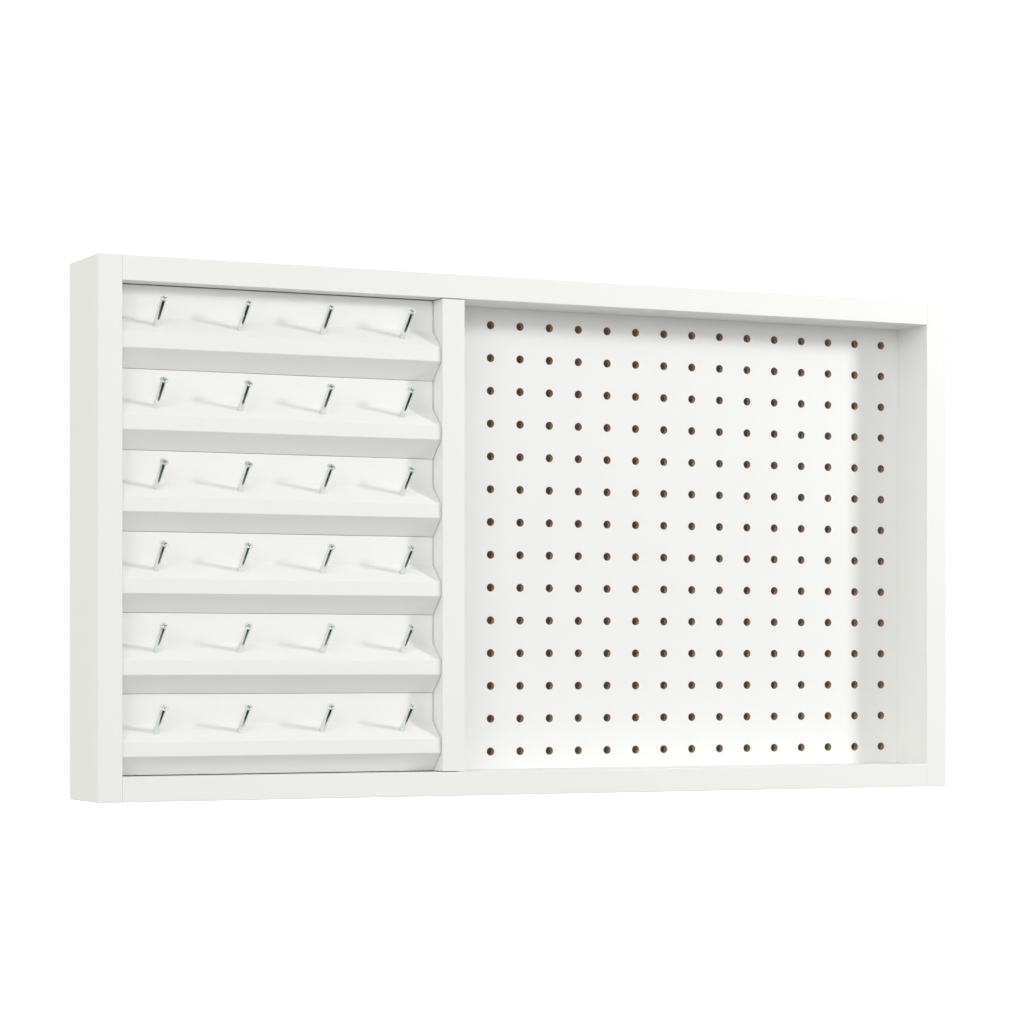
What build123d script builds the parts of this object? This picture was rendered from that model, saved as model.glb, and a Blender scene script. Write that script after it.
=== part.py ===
"""A white wall panel: a frame of butted boards that holds a rack of six angled slats with
spool pegs in its left bay and a deep-set pegboard in its right bay.

Millimetres, +Z up. The front faces -Y, and the back edges of the boards lie on the wall, Y = 0.
The origin is the middle of the top board's back edge.
"""

import os
from math import cos, floor, hypot, radians, sin

from build123d import *

# Frame of five wrapped boards
frame_width = 721.5
frame_height = 394.0
frame_depth = 66.8
board = 18.3  # thickness of every board
edge_radius = 0.6  # soft edge of the wrapping foil
divider_end_gap = 0.6  # open joint line above and below the divider

# Hardboard panels, held in grooves in the boards
panel_thickness = 5.0
rear_space = 18.3  # depth left behind the panels for the tails of hooks
groove_depth = 6.0
panel_edge_gap = 0.3
panel_face_gap = 0.1

# Pegboard holes
hole_pitch = 25.4
hole_diameter = 6.35
hole_edge_minimum = 12.0  # least distance from a hole's centre to a board

# Slats, all cut from one moulding
slat_bay_width = 252.5
slat_count = 6
slat_end_gap = 0.7  # above the top slat and below the bottom one
top_slat_extra = 2.0  # height that the top slat keeps beyond the others, to fill the bay
slat_side_gap = 0.6
slat_seam = 0.3
slat_nose_recess = 2.4  # from the frame's front back to the slat noses
slat_thickness = 25.0
slat_projection = 15.0  # of the nose, out from the flat upper part
nose_height = 10.7
bevel_drop = 13.2
underside_drop = 13.7
nose_radius = 0.9

# Battens between the slats and the plain panel
batten_width = 25.0
batten_side_gap = 2.0
batten_end_gap = 0.3

# Spool pegs: smooth screws driven into the bevels
pegs_per_slat = 4
peg_side_margin = 28.8
peg_angle = 45.0  # above horizontal
peg_from_nose = 10.5  # along the bevel, from its lower edge
peg_reach = 25.4  # length that stands out of the bevel
peg_bite = 20.0  # length inside the slat
peg_diameter = 4.6
peg_head_diameter = 6.6
peg_head_rim = 0.5
peg_point = 4.0
peg_fit = 0.05  # radial clearance in the slat
hole_lead = 2.0  # how far each peg's drill starts outside the bevel

# Countersunk screws that hold the slats from behind
slat_screw_diameter = 4.0
slat_screw_head = 8.0
slat_screw_bite = 14.0
slat_screw_point = 3.0
screw_rim = 0.2  # edge of every countersunk head, also the hangers'
screw_clearance = 0.25  # radial, in the panel and the battens
thread_fit = 0.05  # radial, where a screw bites

# Cross recess in the screw heads, as a share of each head
recess_span = 0.6
recess_width = 0.16
recess_depth = 0.3
countersink = 90

# Wooden dowels in the frame's joints
dowel_diameter = 8.0
dowel_length = 30.0
dowel_in_face = 10.0  # length that enters the face of a board
dowel_chamfer = 0.8
dowel_fit = 0.05
dowel_end_gap = 0.5
dowel_front_inset = 15.0

# Keyhole hangers, let in flush in the back edges of the end boards
hanger_length = 44.0
hanger_width = 13.0
hanger_thickness = 1.6
hanger_drop = 42.0  # from the frame's top to the hanger's middle
hanger_fit = 0.1
keyhole_head = 8.5
keyhole_slot = 4.5
keyhole_travel = 9.0
head_pocket_depth = 9.0
head_pocket_wall = 1.0  # pocket beyond the keyhole, all round
hanger_screw_diameter = 3.0
hanger_screw_head = 5.6
hanger_screw_length = 16.0
hanger_screw_point = 2.5
hanger_screw_inset = 5.5  # from the end of the plate

# Levels, from the origin at the middle of the top board's back edge
frame_top = board / 2
frame_bottom = frame_top - frame_height
inner_top = frame_top - board
inner_bottom = frame_bottom + board
inner_height = inner_top - inner_bottom
inner_middle = (inner_top + inner_bottom) / 2
bottom_board_middle = frame_bottom + board / 2

# Depths
front = -frame_depth
panel_back = -rear_space
panel_front = panel_back - panel_thickness
panel_middle = (panel_back + panel_front) / 2
groove_width = panel_thickness + 2 * panel_face_gap
slat_nose = front + slat_nose_recess
slat_flat = slat_nose + slat_projection
slat_back = slat_nose + slat_thickness
batten_thickness = panel_front - slat_back
dowel_lines = (front + dowel_front_inset, (panel_back + panel_face_gap) / 2)

# Places across the frame
inner_left = -frame_width / 2 + board
inner_right = frame_width / 2 - board
divider_left = inner_left + slat_bay_width
divider_right = divider_left + board
divider_middle = (divider_left + divider_right) / 2
peg_bay_width = inner_right - divider_right
slat_left = inner_left + slat_side_gap
slat_length = slat_bay_width - 2 * slat_side_gap
batten_offset = slat_bay_width / 2 - batten_side_gap - batten_width / 2
slat_bay_middle = inner_left + slat_bay_width / 2
batten_middles = (slat_bay_middle - batten_offset, slat_bay_middle + batten_offset)
end_board_middle = frame_width / 2 - board / 2

# Slat and peg rows, numbered from the top
slat_pitch = (inner_height - 2 * slat_end_gap - top_slat_extra + slat_seam) / slat_count
slat_height = slat_pitch - slat_seam
slat_rows = range(1, slat_count + 1)
peg_pitch = (slat_bay_width - 2 * peg_side_margin) / (pegs_per_slat - 1)
peg_direction = Vector(0, -cos(radians(peg_angle)), sin(radians(peg_angle)))
bevel_length = hypot(slat_projection, bevel_drop)


def slat_bottom(row):
    """Height of a slat's lower edge."""
    return inner_bottom + slat_end_gap + (slat_count - row) * slat_pitch


def slat_top(row):
    """Height of a slat's upper edge."""
    return slat_bottom(row) + slat_height + (top_slat_extra if row == 1 else 0)


def nose_middle(row):
    """Height of the middle of a slat's nose, where it is thickest."""
    return slat_bottom(row) + underside_drop + nose_height / 2


def peg_planes(row, lead=0):
    """Planes square to the pegs of one row, at the bevel or this far out from it."""
    share = peg_from_nose / bevel_length
    base_y = slat_nose + share * slat_projection
    base_z = slat_bottom(row) + underside_drop + nose_height + share * bevel_drop
    first_x = inner_left + peg_side_margin
    bases = [Vector(first_x + i * peg_pitch, base_y, base_z) for i in range(pegs_per_slat)]
    return [Plane(base + peg_direction * lead, x_dir=(1, 0, 0), z_dir=peg_direction) for base in bases]


def slat_screw_planes(y, rows, middles=batten_middles):
    """Planes that face the wall, one on the axis of each slat screw."""
    points = [(x, y, nose_middle(row)) for row in rows for x in middles]
    return [Plane(point, x_dir=(1, 0, 0), z_dir=(0, 1, 0)) for point in points]


def hanger_screw_planes(side):
    """Planes on the wall, one on the axis of each screw of the hanger on this side."""
    half = hanger_length / 2 - hanger_screw_inset
    middle = frame_top - hanger_drop
    return [
        Plane((side * end_board_middle, 0, middle + up), x_dir=(1, 0, 0), z_dir=(0, 1, 0))
        for up in (-half, half)
    ]


def corner_dowel_planes(side):
    """Planes on an end board's inner face, square to its dowels and facing the bays."""
    return [
        Plane((side * inner_right, y, z), z_dir=(-side, 0, 0))
        for y in dowel_lines
        for z in (0, bottom_board_middle)
    ]


def divider_dowel_planes(side, gap=0):
    """Planes square to the dowels at the divider's top (side 1) or bottom (side -1), facing it."""
    level = inner_middle + side * (inner_height / 2 - gap)
    return [Plane((divider_middle, y, level), z_dir=(0, 0, -side)) for y in dowel_lines]


def finish(part, label):
    """Labels one piece and writes it."""
    part.label = label
    export_step(part, f"parts/{label}.step")


def screw(diameter, head, length, point, rim):
    """A countersunk screw that hangs below its head's flat top, with a cross recess."""
    cone = (head - diameter) / 2
    with BuildPart() as blank:
        with BuildSketch(Plane.XZ):
            with BuildLine():
                Polyline(
                    (0, 0),
                    (head / 2, 0),
                    (head / 2, -rim),
                    (diameter / 2, -rim - cone),
                    (diameter / 2, point - length),
                    (0, -length),
                    close=True,
                )
            make_face()
        revolve(axis=Axis.Z)
        with BuildSketch(Plane.XY):
            Rectangle(head * recess_span, head * recess_width)
            Rectangle(head * recess_width, head * recess_span)
        extrude(amount=-head * recess_depth, mode=Mode.SUBTRACT)
    return blank.part


def end_board(side):
    """A full-height end board, on the left (side -1) or the right (side 1)."""
    with BuildPart() as end:
        with BuildSketch(Plane.XY.offset(frame_bottom)):
            with Locations((side * end_board_middle, front / 2)):
                Rectangle(board, frame_depth)
        extrude(amount=frame_height)
        fillet(end.edges() - end.faces().sort_by(Axis.Y)[-1].edges(), edge_radius)

        with BuildSketch(Plane.XY.offset(inner_bottom - groove_depth)):
            with Locations((side * (inner_right + groove_depth / 2), panel_middle)):
                Rectangle(groove_depth, groove_width)
        extrude(amount=inner_height + 2 * groove_depth, mode=Mode.SUBTRACT)

        with Locations(*corner_dowel_planes(side)):
            Hole(dowel_diameter / 2 + dowel_fit, dowel_in_face + dowel_end_gap)

        with BuildSketch(Plane.XZ):
            with Locations((side * end_board_middle, frame_top - hanger_drop)):
                SlotOverall(hanger_length + 2 * hanger_fit, hanger_width + 2 * hanger_fit, rotation=90)
        extrude(amount=hanger_thickness, mode=Mode.SUBTRACT)
        with BuildSketch(Plane.XZ):
            with Locations((side * end_board_middle, frame_top - hanger_drop)):
                pocket_width = keyhole_head + 2 * head_pocket_wall
                SlotOverall(keyhole_travel + pocket_width, pocket_width, rotation=90)
        extrude(amount=head_pocket_depth, mode=Mode.SUBTRACT)
        with Locations(*hanger_screw_planes(side)):
            Hole(hanger_screw_diameter / 2 + thread_fit, hanger_screw_length + thread_fit)
    return end.part


def cross_board(middle, side):
    """The top board (side 1) or the bottom board (side -1), which butts between the end boards."""
    with BuildPart() as cross:
        with BuildSketch(Plane.YZ.offset(inner_left)):
            with Locations((front / 2, middle)):
                Rectangle(frame_depth, board)
        extrude(amount=inner_right - inner_left)
        fillet(cross.edges().filter_by(Axis.X).group_by(Axis.Y)[0], edge_radius)

        with BuildSketch(Plane.YZ.offset(inner_left)):
            with Locations((panel_middle, middle - side * (board - groove_depth) / 2)):
                Rectangle(groove_width, groove_depth)
        extrude(amount=inner_right - inner_left, mode=Mode.SUBTRACT)

        end_planes = [
            Plane((end * inner_right, y, middle), z_dir=(end, 0, 0)) for end in (-1, 1) for y in dowel_lines
        ]
        with Locations(*end_planes):
            Hole(dowel_diameter / 2 + dowel_fit, dowel_length - dowel_in_face + dowel_end_gap)
        with Locations(*divider_dowel_planes(side)):
            Hole(dowel_diameter / 2 + dowel_fit, dowel_in_face + dowel_end_gap)
    return cross.part


def slat(row):
    """One slat: a flat upper part, a bevel out to the nose, and an underside that slopes back."""
    bottom = slat_bottom(row)
    nose_bottom = bottom + underside_drop
    nose_top = nose_bottom + nose_height
    with BuildPart() as moulding:
        with BuildSketch(Plane.YZ.offset(slat_left)):
            with BuildLine():
                Polyline(
                    (slat_back, bottom),
                    (slat_flat, bottom),
                    (slat_nose, nose_bottom),
                    (slat_nose, nose_top),
                    (slat_flat, nose_top + bevel_drop),
                    (slat_flat, slat_top(row)),
                    (slat_back, slat_top(row)),
                    close=True,
                )
            make_face()
        extrude(amount=slat_length)
        fillet(moulding.edges().filter_by(Axis.X).group_by(Axis.Y)[0], nose_radius)

        with Locations(*peg_planes(row, hole_lead)):
            Hole(peg_diameter / 2 + peg_fit, hole_lead + peg_bite + peg_fit)
        with Locations(*slat_screw_planes(slat_back, [row])):
            Hole(slat_screw_diameter / 2 + thread_fit, slat_screw_bite + thread_fit)
    return moulding.part


def peg_row(row):
    """The pegs of one slat."""
    peg = screw(peg_diameter, peg_head_diameter, peg_reach + peg_bite, peg_point, peg_head_rim)
    with BuildPart() as pegs:
        with Locations(*peg_planes(row, peg_reach)):
            add(peg)
    return pegs.part


def panel(left, right, planes=(), holes=False):
    """A hardboard panel between two bay walls, with its edges in their grooves."""
    grip = groove_depth - panel_edge_gap
    middle = (left + right) / 2
    with BuildPart() as sheet:
        with BuildSketch(Plane.XZ.offset(rear_space)):
            with Locations((middle, inner_middle)):
                Rectangle(right - left + 2 * grip, inner_height + 2 * grip)
                if holes:
                    columns = floor((right - left - 2 * hole_edge_minimum) / hole_pitch) + 1
                    rows = floor((inner_height - 2 * hole_edge_minimum) / hole_pitch) + 1
                    with GridLocations(hole_pitch, hole_pitch, columns, rows):
                        Circle(hole_diameter / 2, mode=Mode.SUBTRACT)
        extrude(amount=panel_thickness)
        if planes:
            with Locations(*planes):
                CounterSinkHole(
                    slat_screw_diameter / 2 + screw_clearance,
                    slat_screw_head / 2 + screw_rim + thread_fit,
                    panel_thickness,
                    countersink,
                )
    return sheet.part


def batten(middle):
    """A vertical strip that carries the slats' ends."""
    with BuildPart() as strip:
        with BuildSketch(Plane.XY.offset(inner_bottom + batten_end_gap)):
            with Locations((middle, (slat_back + panel_front) / 2)):
                Rectangle(batten_width, batten_thickness)
        extrude(amount=inner_height - 2 * batten_end_gap)
        with Locations(*slat_screw_planes(panel_front, slat_rows, [middle])):
            Hole(slat_screw_diameter / 2 + screw_clearance, batten_thickness)
    return strip.part


def dowels(planes):
    """Chamfered wooden dowels that stand across these joint faces."""
    with BuildPart() as pins:
        for plane in planes:
            with BuildSketch(plane.offset(-dowel_in_face)):
                Circle(dowel_diameter / 2)
            extrude(amount=dowel_length)
        chamfer(pins.edges().filter_by(GeomType.CIRCLE), dowel_chamfer)
    return pins.part


os.makedirs("parts", exist_ok=True)

# The frame
finish(end_board(-1), "left_end")
finish(end_board(1), "right_end")
finish(cross_board(0, 1), "top_board")
finish(cross_board(bottom_board_middle, -1), "bottom_board")

with BuildPart() as divider:
    with BuildSketch(Plane.XY.offset(inner_bottom + divider_end_gap)):
        with Locations((divider_middle, front / 2)):
            Rectangle(board, frame_depth)
        for edge_x, into in ((divider_left, 1), (divider_right, -1)):
            with Locations((edge_x + into * groove_depth / 2, panel_middle)):
                Rectangle(groove_depth, groove_width, mode=Mode.SUBTRACT)
    extrude(amount=inner_height - 2 * divider_end_gap)
    fillet(divider.edges().filter_by(Axis.Z).group_by(Axis.Y)[0], edge_radius)
    for end in (-1, 1):
        with Locations(*[-plane for plane in divider_dowel_planes(end, divider_end_gap)]):
            Hole(dowel_diameter / 2 + dowel_fit, dowel_length - dowel_in_face + dowel_end_gap)
finish(divider.part, "divider")

finish(dowels(corner_dowel_planes(-1) + corner_dowel_planes(1)), "corner_dowels")
finish(dowels(divider_dowel_planes(-1) + divider_dowel_planes(1)), "divider_dowels")

# The panels
finish(panel(divider_right, inner_right, holes=True), "pegboard")
back_planes = slat_screw_planes(panel_back, slat_rows)
finish(panel(inner_left, divider_left, planes=back_planes), "slat_back_panel")

# The spool rack
for number in slat_rows:
    finish(slat(number), f"slat_{number}")
    finish(peg_row(number), f"spool_pegs_{number}")
for name, x in zip(("slat_batten_left", "slat_batten_right"), batten_middles):
    finish(batten(x), name)

slat_screw_length = panel_thickness + batten_thickness + slat_screw_bite
slat_screw = screw(slat_screw_diameter, slat_screw_head, slat_screw_length, slat_screw_point, screw_rim)
with BuildPart() as slat_screws:
    with Locations(*back_planes):
        add(slat_screw)
finish(slat_screws.part, "slat_screws")

# The hangers
hanger_planes = hanger_screw_planes(-1) + hanger_screw_planes(1)
with BuildPart() as keyhole_hangers:
    for side in (-1, 1):
        with BuildSketch(Plane.XZ):
            with Locations((side * end_board_middle, frame_top - hanger_drop)):
                SlotOverall(hanger_length, hanger_width, rotation=90)
                SlotCenterToCenter(keyhole_travel, keyhole_slot, rotation=90, mode=Mode.SUBTRACT)
            with Locations((side * end_board_middle, frame_top - hanger_drop - keyhole_travel / 2)):
                Circle(keyhole_head / 2, mode=Mode.SUBTRACT)
        extrude(amount=hanger_thickness)
    with Locations(*hanger_planes):
        CounterSinkHole(
            hanger_screw_diameter / 2 + thread_fit,
            hanger_screw_head / 2 + screw_rim + thread_fit,
            hanger_thickness,
            countersink,
        )
finish(keyhole_hangers.part, "keyhole_hangers")

hanger_screw = screw(
    hanger_screw_diameter,
    hanger_screw_head,
    hanger_screw_length,
    hanger_screw_point,
    screw_rim,
)
with BuildPart() as hanger_screws:
    with Locations(*hanger_planes):
        add(hanger_screw)
finish(hanger_screws.part, "hanger_screws")
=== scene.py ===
"""A white wall panel, finished for the studio: slats with spool pegs beside a pegboard, in a box frame."""

import math

import bmesh
import bpy
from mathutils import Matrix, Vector


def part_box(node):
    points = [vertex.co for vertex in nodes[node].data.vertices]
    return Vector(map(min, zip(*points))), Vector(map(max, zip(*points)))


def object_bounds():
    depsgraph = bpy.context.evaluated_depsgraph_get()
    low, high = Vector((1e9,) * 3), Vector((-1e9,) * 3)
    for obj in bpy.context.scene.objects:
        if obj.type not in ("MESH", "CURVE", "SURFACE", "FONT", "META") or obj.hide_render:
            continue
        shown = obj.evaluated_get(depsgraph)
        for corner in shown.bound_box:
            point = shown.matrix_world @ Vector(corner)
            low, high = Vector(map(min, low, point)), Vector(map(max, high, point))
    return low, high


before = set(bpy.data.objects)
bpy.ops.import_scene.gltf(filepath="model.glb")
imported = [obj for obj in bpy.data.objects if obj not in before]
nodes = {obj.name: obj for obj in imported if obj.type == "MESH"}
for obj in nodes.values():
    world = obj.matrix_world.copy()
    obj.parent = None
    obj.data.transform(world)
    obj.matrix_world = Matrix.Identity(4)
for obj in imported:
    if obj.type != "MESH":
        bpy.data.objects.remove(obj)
cad_low, cad_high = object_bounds()

# ---- Camera ------------------------------------------------------------------
# A long lens to the left of the panel and about level with its middle, kept upright
# so that the boards stay parallel, with the lens shifted to centre the panel.
panel_middle = (cad_low + cad_high) / 2
camera_data = bpy.data.cameras.new("camera")
camera_data.sensor_width = 36
camera_data.lens = 109.57
camera_data.shift_x = -0.0064
camera_data.shift_y = 0.1488
camera_data.clip_end = 60
camera = bpy.data.objects.new("camera", camera_data)
to_the_left = 1.0587
ahead = 2.2076
below_middle = 0.0976
turned = -25.74  # degrees, towards the panel
camera.location = (panel_middle.x - to_the_left, cad_high.y - ahead, panel_middle.z - below_middle)
camera.rotation_euler = (math.radians(90), 0, math.radians(turned))
bpy.context.scene.collection.objects.link(camera)
bpy.context.scene.camera = camera


# ---- Frame boards -------------------------------------------------------------
# Two end boards, two cross boards and a divider, of medium fibreboard wrapped in smooth
# white foil and doweled together. The edges against the wall are left raw.
def place(tree, kind, inputs=None, **fields):
    """Adds a shader node, sets its fields, and links or sets each of its inputs."""
    node = tree.nodes.new(kind)
    for field, value in fields.items():
        setattr(node, field, value)
    for key, value in (inputs or {}).items():
        if isinstance(value, bpy.types.NodeSocket):
            tree.links.new(value, node.inputs[key])
        else:
            node.inputs[key].default_value = value
    return node


def new_finish(name, **constants):
    """A material's node tree and its Principled shader, whose constant sockets are set by name."""
    material = bpy.data.materials.new(name)
    material.use_nodes = True
    tree = material.node_tree
    tree.nodes.clear()
    named = {socket.replace("_", " "): value for socket, value in constants.items()}
    shader = place(tree, "ShaderNodeBsdfPrincipled", named)
    place(tree, "ShaderNodeOutputMaterial", {"Surface": shader.outputs["BSDF"]})
    return material, tree, shader


def new_group(name, inputs, outputs):
    """A shader node group: its tree, its own inputs by name, and its outputs to be linked."""
    group = bpy.data.node_groups.new(name, "ShaderNodeTree")
    for socket, default in inputs.items():
        size = 1 if isinstance(default, float) else len(default)
        kind = {1: "NodeSocketFloat", 3: "NodeSocketVector", 4: "NodeSocketColor"}[size]
        group.interface.new_socket(socket, in_out="INPUT", socket_type=kind).default_value = default
    for socket, kind in outputs.items():
        group.interface.new_socket(socket, in_out="OUTPUT", socket_type="NodeSocket" + kind)
    return group, group.nodes.new("NodeGroupInput").outputs, group.nodes.new("NodeGroupOutput").inputs


def effect(tree, group, **inputs):
    """The outputs of a shader node group placed in a material with these inputs."""
    node = place(tree, "ShaderNodeGroup", node_tree=group)
    for socket, value in inputs.items():
        node.inputs[socket.replace("_", " ")].default_value = value
    return node.outputs


def maths(tree, operation, first, second=0.0, third=0.0):
    """One step of arithmetic."""
    return place(tree, "ShaderNodeMath", {0: first, 1: second, 2: third}, operation=operation).outputs[0]


def remap(tree, value, low, high, new_low=0.0, new_high=1.0):
    """Maps a value from one range to another, clamped."""
    ends = {"Value": value, "From Min": low, "From Max": high, "To Min": new_low, "To Max": new_high}
    return place(tree, "ShaderNodeMapRange", ends).outputs["Result"]


def noise(tree, where, scale, detail=3.0, roughness=0.5):
    """Soft noise, with about this many lumps to the metre."""
    inputs = {"Vector": where, "Scale": scale, "Detail": detail, "Roughness": roughness}
    return place(tree, "ShaderNodeTexNoise", inputs).outputs["Fac"]


def scaled(tree, where, factors):
    """A position multiplied along each axis."""
    return place(tree, "ShaderNodeVectorMath", {0: where, 1: factors}, operation="MULTIPLY").outputs[0]


def mix_color(tree, mask, base, over):
    """The base colour where the mask is 0, the other where it is 1."""
    return place(tree, "ShaderNodeMix", {0: mask, 6: base, 7: over}, data_type="RGBA").outputs[2]


def mix_value(tree, mask, base, over):
    """The base value where the mask is 0, the other where it is 1."""
    return place(tree, "ShaderNodeMix", {0: mask, 2: base, 3: over}).outputs[0]


def facing(tree, axis, least):
    """A mask of the faces whose normal along an axis is past a limit, above it or, if negative, below."""
    normal = place(tree, "ShaderNodeNewGeometry").outputs["True Normal"]
    along = place(tree, "ShaderNodeSeparateXYZ", {0: normal}).outputs[axis]
    return maths(tree, "GREATER_THAN" if least > 0 else "LESS_THAN", along, least)


def finish(tree, shader, color, roughness, height, strength, depth):
    """Feeds the shader its colour and roughness, and a bump of this depth in metres."""
    bump = place(tree, "ShaderNodeBump", {"Height": height, "Strength": strength, "Distance": depth})
    tree.links.new(color, shader.inputs["Base Color"])
    tree.links.new(roughness, shader.inputs["Roughness"])
    tree.links.new(bump.outputs["Normal"], shader.inputs["Normal"])


def dress(node_names, material):
    """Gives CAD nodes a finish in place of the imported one."""
    for name in node_names:
        nodes[name].data.materials.clear()
        nodes[name].data.materials.append(material)


# The skin of foil, paint or a coating: slow drift in tone, fine grain, and a slight sheen change.
skin, given, result = new_group(
    "coated skin",
    {"Color": (0.86, 0.86, 0.85, 1), "Drift": 0.01, "Roughness": 0.4, "Grain": 1200.0},
    {"Color": "Color", "Roughness": "Float", "Height": "Float"},
)
where = place(skin, "ShaderNodeTexCoord").outputs["Object"]
cloud = noise(skin, where, 7.0, 4.0, 0.6)
orange_peel = noise(skin, where, given["Grain"], 2.0)
rubbed = noise(skin, where, 40.0, 5.0, 0.65)
swing = maths(skin, "MULTIPLY", maths(skin, "SUBTRACT", cloud, 0.5), given["Drift"])
tone = maths(skin, "MULTIPLY_ADD", swing, 4.0, 1.0)
drifted = place(skin, "ShaderNodeHueSaturation", {"Color": given["Color"], "Value": tone})
skin.links.new(drifted.outputs["Color"], result["Color"])
sheen = maths(skin, "MULTIPLY_ADD", maths(skin, "SUBTRACT", rubbed, 0.5), 0.2, given["Roughness"])
skin.links.new(sheen, result["Roughness"])
skin.links.new(orange_peel, result["Height"])

# Pressed wood fibre, as in raw board edges, drilled walls and bare hardboard.
fibre, given, result = new_group(
    "pressed fibre",
    {
        "Dark": (0.2, 0.12, 0.07, 1),
        "Light": (0.5, 0.36, 0.24, 1),
        "Fibre run": (1.0, 1.0, 1.0),
        "Size": 300.0,
    },
    {"Color": "Color", "Roughness": "Float", "Height": "Float"},
)
where = place(fibre, "ShaderNodeTexCoord").outputs["Object"]
run = scaled(fibre, where, given["Fibre run"])
strands = noise(fibre, run, given["Size"], 6.0, 0.7)
chip_size = maths(fibre, "MULTIPLY", given["Size"], 2.2)
chips = place(fibre, "ShaderNodeTexVoronoi", {"Vector": run, "Scale": chip_size})
flecks = remap(fibre, chips.outputs["Distance"], 0.05, 0.35, 0.45, 1.0)
patches = noise(fibre, where, 22.0, 3.0)
depth = maths(fibre, "MULTIPLY", remap(fibre, strands, 0.3, 0.7), flecks)
tone = maths(fibre, "MULTIPLY_ADD", maths(fibre, "SUBTRACT", patches, 0.5), 0.5, depth)
fibre.links.new(mix_color(fibre, tone, given["Dark"], given["Light"]), result["Color"])
fibre.links.new(remap(fibre, depth, 0.0, 1.0, 0.92, 0.78), result["Roughness"])
fibre.links.new(depth, result["Height"])


def foil_board(name, across):
    """White foil on fibreboard, raw at the back, where its core is paler and looser than its faces."""
    material, tree, shader = new_finish(name, Specular_IOR_Level=0.45)
    wrap = effect(tree, skin, Color=(0.862, 0.862, 0.853, 1), Drift=0.008, Roughness=0.4, Grain=1300.0)
    raw = effect(tree, fibre, Dark=(0.3, 0.19, 0.11, 1), Light=(0.62, 0.47, 0.31, 1), Size=420.0)
    generated = place(tree, "ShaderNodeTexCoord").outputs["Generated"]
    through = place(tree, "ShaderNodeSeparateXYZ", {0: generated}).outputs[across]
    from_middle = maths(tree, "ABSOLUTE", maths(tree, "SUBTRACT", through, 0.5))
    dense = remap(tree, from_middle, 0.28, 0.5, 0.0, 0.75)
    edge = mix_color(tree, dense, raw["Color"], (0.27, 0.165, 0.095, 1))
    at_wall = facing(tree, "Y", 0.5)
    color = mix_color(tree, at_wall, wrap["Color"], edge)
    roughness = mix_value(tree, at_wall, wrap["Roughness"], raw["Roughness"])
    height = mix_value(tree, at_wall, wrap["Height"], raw["Height"])
    finish(tree, shader, color, roughness, height, 0.3, 0.00005)
    return material


dress(["left_end", "right_end", "divider"], foil_board("foil on upright board", "X"))
dress(["top_board", "bottom_board"], foil_board("foil on cross board", "Z"))


# ---- Pegboard -------------------------------------------------------------------
# A 5 mm hardboard sheet drilled on an inch grid and roller coated white on its face, so
# that hole walls and back stay brown. Its edges sit in grooves in the boards.
def screen_marks(tree):
    """The weave that the pressing screen leaves on the back of hardboard, as a height."""
    where = place(tree, "ShaderNodeTexCoord").outputs["Object"]
    waver = place(tree, "ShaderNodeTexNoise", {"Vector": where, "Scale": 30.0}).outputs["Color"]
    slack = place(tree, "ShaderNodeVectorMath", {0: waver, "Scale": 0.0012}, operation="SCALE").outputs[0]
    moved = place(tree, "ShaderNodeVectorMath", {0: where, 1: slack}, operation="ADD").outputs[0]
    parts = place(tree, "ShaderNodeSeparateXYZ", {0: moved}).outputs
    wire_gap = 0.0021
    wave = 2 * math.pi / wire_gap
    wires = [maths(tree, "SINE", maths(tree, "MULTIPLY", parts[axis], wave)) for axis in "XZ"]
    return remap(tree, maths(tree, "MAXIMUM", wires[0], wires[1]), 0.0, 1.0)


def hardboard(name, face_color=None):
    """Brown hardboard with a screen-marked back; with a face colour, its front is coated."""
    material, tree, shader = new_finish(name, Specular_IOR_Level=0.4)
    board = effect(tree, fibre, Dark=(0.085, 0.045, 0.024, 1), Light=(0.33, 0.2, 0.12, 1), Size=260.0)
    drilled = effect(tree, fibre, Dark=(0.16, 0.1, 0.065, 1), Light=(0.42, 0.31, 0.22, 1), Size=260.0)
    marks = screen_marks(tree)
    at_back = facing(tree, "Y", 0.5)
    pressed = mix_color(tree, maths(tree, "MULTIPLY", marks, 0.45), board["Color"], (0.4, 0.26, 0.165, 1))
    color = mix_color(tree, at_back, drilled["Color"], pressed)
    roughness = board["Roughness"]
    height = mix_value(tree, at_back, board["Height"], marks)
    if face_color:
        coat = effect(tree, skin, Color=face_color, Drift=0.006, Roughness=0.34, Grain=850.0)
        at_front = facing(tree, "Y", -0.5)
        color = mix_color(tree, at_front, color, coat["Color"])
        roughness = mix_value(tree, at_front, roughness, coat["Roughness"])
        height = mix_value(tree, at_front, height, coat["Height"])
    finish(tree, shader, color, roughness, height, 0.35, 0.0001)
    return material


dress(["pegboard"], hardboard("coated pegboard", (0.868, 0.868, 0.862, 1)))

# ---- Slat back panel -------------------------------------------------------------
# The same hardboard, uncoated, in the same grooves behind the slats. It squares the
# frame and closes the bay, and only its back is ever seen.
dress(["slat_back_panel"], hardboard("bare hardboard"))

# ---- Slats -------------------------------------------------------------------------
# Six lengths of one fibreboard moulding, sprayed satin white all over and butted one
# above another. Screws through the battens hold each at both ends.
paint, tree, shader = new_finish("sprayed satin paint", Specular_IOR_Level=0.45, Coat_Weight=0.08)
spray = effect(tree, skin, Color=(0.868, 0.868, 0.86, 1), Drift=0.008, Roughness=0.38, Grain=620.0)
finish(tree, shader, spray["Color"], spray["Roughness"], spray["Height"], 0.35, 0.00006)
dress([name for name in nodes if name[:5] == "slat_" and name[5:].isdigit()], paint)


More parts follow.
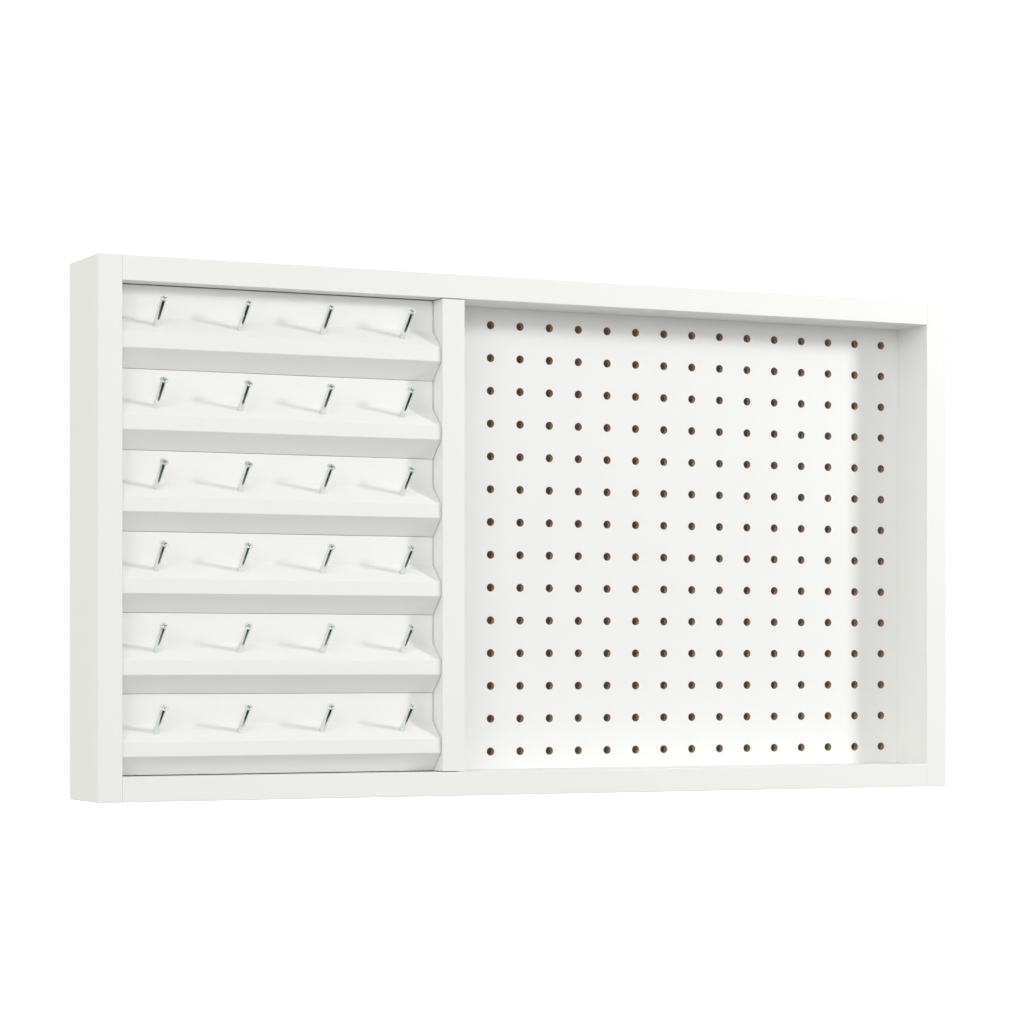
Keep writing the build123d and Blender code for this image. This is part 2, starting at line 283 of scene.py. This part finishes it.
# ---- Spool pegs ---------------------------------------------------------------------
# Cross-recess screws of bright zinc with plain shanks, driven square into the bevels so
# that a spool leans back on each. Plating leaves faint streaks along the shank.
def zinc_plate(name, tint, dull, drawn):
    """Zinc plating: a tint, a roughness, and how far its streaks are drawn out along each axis."""
    material, tree, shader = new_finish(name, Metallic=1.0)
    where = place(tree, "ShaderNodeTexCoord").outputs["Object"]
    streaks = noise(tree, scaled(tree, where, drawn), 1600.0, 3.0, 0.6)
    bloom = noise(tree, where, 260.0, 4.0, 0.6)
    dimmed = tuple(0.86 * part for part in tint[:3]) + (1,)
    color = mix_color(tree, remap(tree, bloom, 0.35, 0.7), tint, dimmed)
    bloomed = remap(tree, bloom, 0.3, 0.7, dull, dull + 0.08)
    roughness = maths(tree, "ADD", remap(tree, streaks, 0.3, 0.7, -0.05, 0.05), bloomed)
    finish(tree, shader, color, roughness, streaks, 0.15, 0.00002)
    return material


peg_zinc = zinc_plate("bright zinc peg", (0.83, 0.87, 0.87, 1), 0.12, (1.0, 0.3, 0.3))
dress([name for name in nodes if name.startswith("spool_pegs_")], peg_zinc)

# ---- Screws ---------------------------------------------------------------------------
# Countersunk zinc screws: one into each end of each slat from behind, and two in each
# wall hanger. Duller than the pegs, because they are tumble plated.
tumbled_zinc = zinc_plate("tumbled zinc screw", (0.72, 0.72, 0.68, 1), 0.26, (1, 1, 1))
dress(["slat_screws", "hanger_screws"], tumbled_zinc)

# ---- Wall hangers ------------------------------------------------------------------------
# Stamped keyhole plates let into the back edges of the end boards. Rolled sheet with a
# pale zinc finish, and the rolling marks run up the plate.
dress(["keyhole_hangers"], zinc_plate("rolled zinc plate", (0.66, 0.67, 0.68, 1), 0.3, (1.0, 1.0, 0.06)))


# ---- Battens -------------------------------------------------------------------------------
# Two planed pine strips behind the slat back panel, one at each end of the slats. The
# slat screws pull against them, and their grain runs upward.
def softwood(name, early, late, ring_gap, grain_run):
    """Planed wood: dark late wood in rings about an off-centre pith, pores and slow patches."""
    material, tree, shader = new_finish(name, Specular_IOR_Level=0.35)
    where = place(tree, "ShaderNodeTexCoord").outputs["Object"]
    run = scaled(tree, where, grain_run)
    bend = place(tree, "ShaderNodeTexNoise", {"Vector": run, "Scale": 18.0, "Detail": 2.0}).outputs["Color"]
    sway = place(tree, "ShaderNodeVectorMath", {0: bend, "Scale": 0.02}, operation="SCALE").outputs[0]
    grown = place(tree, "ShaderNodeVectorMath", {0: run, 1: sway}, operation="ADD").outputs[0]
    parts = place(tree, "ShaderNodeSeparateXYZ", {0: grown}).outputs
    across = maths(tree, "MULTIPLY_ADD", parts["Y"], 0.8, parts["X"])
    turns = maths(tree, "FRACT", maths(tree, "DIVIDE", across, ring_gap))
    ring = remap(tree, maths(tree, "POWER", turns, 3.0), 0.05, 0.9)
    pores = noise(tree, scaled(tree, run, (1, 1, 0.5)), 2200.0, 3.0, 0.65)
    wood = mix_color(tree, maths(tree, "MULTIPLY", ring, 0.75), early, late)
    wood = mix_color(tree, remap(tree, pores, 0.45, 0.8, 0.0, 0.35), wood, late)
    height = maths(tree, "SUBTRACT", pores, maths(tree, "MULTIPLY", ring, 0.4))
    finish(tree, shader, wood, remap(tree, pores, 0.3, 0.7, 0.62, 0.78), height, 0.3, 0.00008)
    return material


pine = softwood("planed pine", (0.66, 0.46, 0.27, 1), (0.42, 0.24, 0.11, 1), 0.0042, (1.0, 1.0, 0.03))
dress(["slat_batten_left", "slat_batten_right"], pine)

# ---- Dowels ---------------------------------------------------------------------------------
# Beech dowels glued across every joint of the frame, lying along the cross boards in the
# corners and upright in the divider. They are closed in by the boards.
beech = softwood("turned beech", (0.6, 0.42, 0.27, 1), (0.48, 0.31, 0.18, 1), 0.0026, (0.1, 1.0, 0.1))
dress(["corner_dowels", "divider_dowels"], beech)

# ---- Painted shade behind the pegboard, and floor ----------------------------------------------
# A dark sheet where the wall that the panel hangs on would be. Its colour is painted shade and its faint
# glow is painted light from behind the board. It is seen only through the peg holes and only from in front.
# And a pale floor a metre below. Neither shades nor colours the panel.
def sheet(name, corners):
    """A flat sheet with these corners, in order, linked to the scene and hidden from every ray but the
    camera's.
    """
    mesh = bpy.data.meshes.new(name)
    shape = bmesh.new()
    shape.faces.new([shape.verts.new(corner) for corner in corners])
    shape.to_mesh(mesh)
    shape.free()
    made = bpy.data.objects.new(name, mesh)
    bpy.context.scene.collection.objects.link(made)
    for ray in ("diffuse", "glossy", "transmission", "shadow"):
        setattr(made, "visible_" + ray, False)
    return made


board_low, board_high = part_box("pegboard")
shade_sheet_gap = 0.0005
shade_sheet = sheet(
    "painted_shade_sheet",
    [
        (x, cad_high.y + shade_sheet_gap, z)
        for x, z in (
            (board_low.x, board_low.z),
            (board_high.x, board_low.z),
            (board_high.x, board_high.z),
            (board_low.x, board_high.z),
        )
    ],
)
# Painted shade: the dark brown colour stands in for the shade in the space behind the pegboard, and the
# faint emission is painted light scattered there. The sheet is clear from behind.
shade, tree, shader = new_finish("painted shade behind pegboard", Roughness=0.9, Emission_Strength=1.0)
where = place(tree, "ShaderNodeTexCoord").outputs["Object"]
tone = remap(tree, noise(tree, where, 60.0), 0.3, 0.7)
painted_shade_color = mix_color(tree, tone, (0.05, 0.038, 0.026, 1), (0.085, 0.066, 0.048, 1))
painted_glow = mix_color(tree, tone, (0.034, 0.027, 0.019, 1), (0.052, 0.042, 0.031, 1))
tree.links.new(painted_shade_color, shader.inputs["Base Color"])
tree.links.new(painted_glow, shader.inputs["Emission Color"])
clear = place(tree, "ShaderNodeBsdfTransparent")
behind = place(tree, "ShaderNodeNewGeometry").outputs["Backfacing"]
one_way = place(tree, "ShaderNodeMixShader", {0: behind, 1: shader.outputs[0], 2: clear.outputs[0]})
surface = next(node for node in tree.nodes if node.type == "OUTPUT_MATERIAL")
tree.links.new(one_way.outputs[0], surface.inputs["Surface"])
shade_sheet.data.materials.append(shade)

floor_drop = 1.0
floor_reach = 25.0
floor_level = cad_low.z - floor_drop
floor = sheet(
    "floor",
    [(x * floor_reach, y * floor_reach, floor_level) for x, y in ((-1, -1), (1, -1), (1, 1), (-1, 1))],
)
white = (1, 1, 1, 1)
pale, tree, shader = new_finish("pale floor", Roughness=0.8, Emission_Color=white, Emission_Strength=1.0)
where = place(tree, "ShaderNodeTexCoord").outputs["Object"]
tone = remap(tree, noise(tree, where, 3.0), 0.3, 0.7)
worn = mix_color(tree, tone, (0.88, 0.88, 0.88, 1), (0.92, 0.92, 0.92, 1))
tree.links.new(worn, shader.inputs["Base Color"])
floor.data.materials.append(pale)


# ---- Lights ---------------------------------------------------------------------------------------
# A small soft box to the right and a little above makes the shadows, two wide ones fill
# from the left, and a pale room lights the rest. What lies below is dark to polished metal.
lamp_distance = 3.0


def soft_box(name, azimuth, elevation, size, power, color):
    """A square soft box near the panel's front, at these angles from straight ahead of its middle."""
    data = bpy.data.lights.new(name, "AREA")
    data.size = size
    data.energy = power
    data.color = color
    lamp = bpy.data.objects.new(name, data)
    turn, rise = math.radians(azimuth), math.radians(elevation)
    outward = Vector((math.sin(turn) * math.cos(rise), -math.cos(turn) * math.cos(rise), math.sin(rise)))
    lamp.location = panel_middle + outward * lamp_distance
    lamp.rotation_euler = outward.to_track_quat("Z", "Y").to_euler()
    bpy.context.scene.collection.objects.link(lamp)


cool = (0.975, 0.975, 1.0)
soft_box("key", 49, 18, 0.45, 36.5, cool)
soft_box("front_fill", -20, 10, 1.2, 10.5, cool)
soft_box("left_fill", -45, 10, 1.2, 10.5, cool)

world = bpy.data.worlds.new("studio")
bpy.context.scene.world = world
world.use_nodes = True
tree = world.node_tree
tree.nodes.clear()
direction = place(tree, "ShaderNodeTexCoord").outputs["Generated"]
sideways, _, upward = place(tree, "ShaderNodeSeparateXYZ", {0: direction}).outputs
rays = place(tree, "ShaderNodeLightPath").outputs
front_wall_glow = 0.55
left_wall_glow = 1.93
right_wall_extra = 0.1
ceiling_glow = 0.48
floor_glow = 0.385
mirrored_floor_glow = 0.012
backdrop_glow = 1.05
left_wall = remap(tree, sideways, -0.3, -0.5, front_wall_glow, left_wall_glow)
walls = maths(tree, "ADD", left_wall, remap(tree, sideways, 0.3, 0.5, 0.0, right_wall_extra))
under_ceiling = mix_value(tree, remap(tree, upward, 0.45, 0.55), walls, ceiling_glow)
room = mix_value(tree, remap(tree, upward, -0.02, 0.02), floor_glow, under_ceiling)
ceiling_seen = remap(tree, upward, 0.3, 0.7, 0.6, 1.0)
mirrored = mix_value(tree, remap(tree, upward, -0.5, -0.2), mirrored_floor_glow, ceiling_seen)
strength = mix_value(tree, rays["Is Glossy Ray"], room, mirrored)
strength = mix_value(tree, rays["Is Camera Ray"], strength, backdrop_glow)
tint = mix_color(tree, rays["Is Camera Ray"], (1, 1, 0.95, 1), white)
backdrop = place(tree, "ShaderNodeBackground", {"Color": tint, "Strength": strength})
place(tree, "ShaderNodeOutputWorld", {"Surface": backdrop.outputs[0]})
bpy.context.scene.view_settings.view_transform = "Standard"
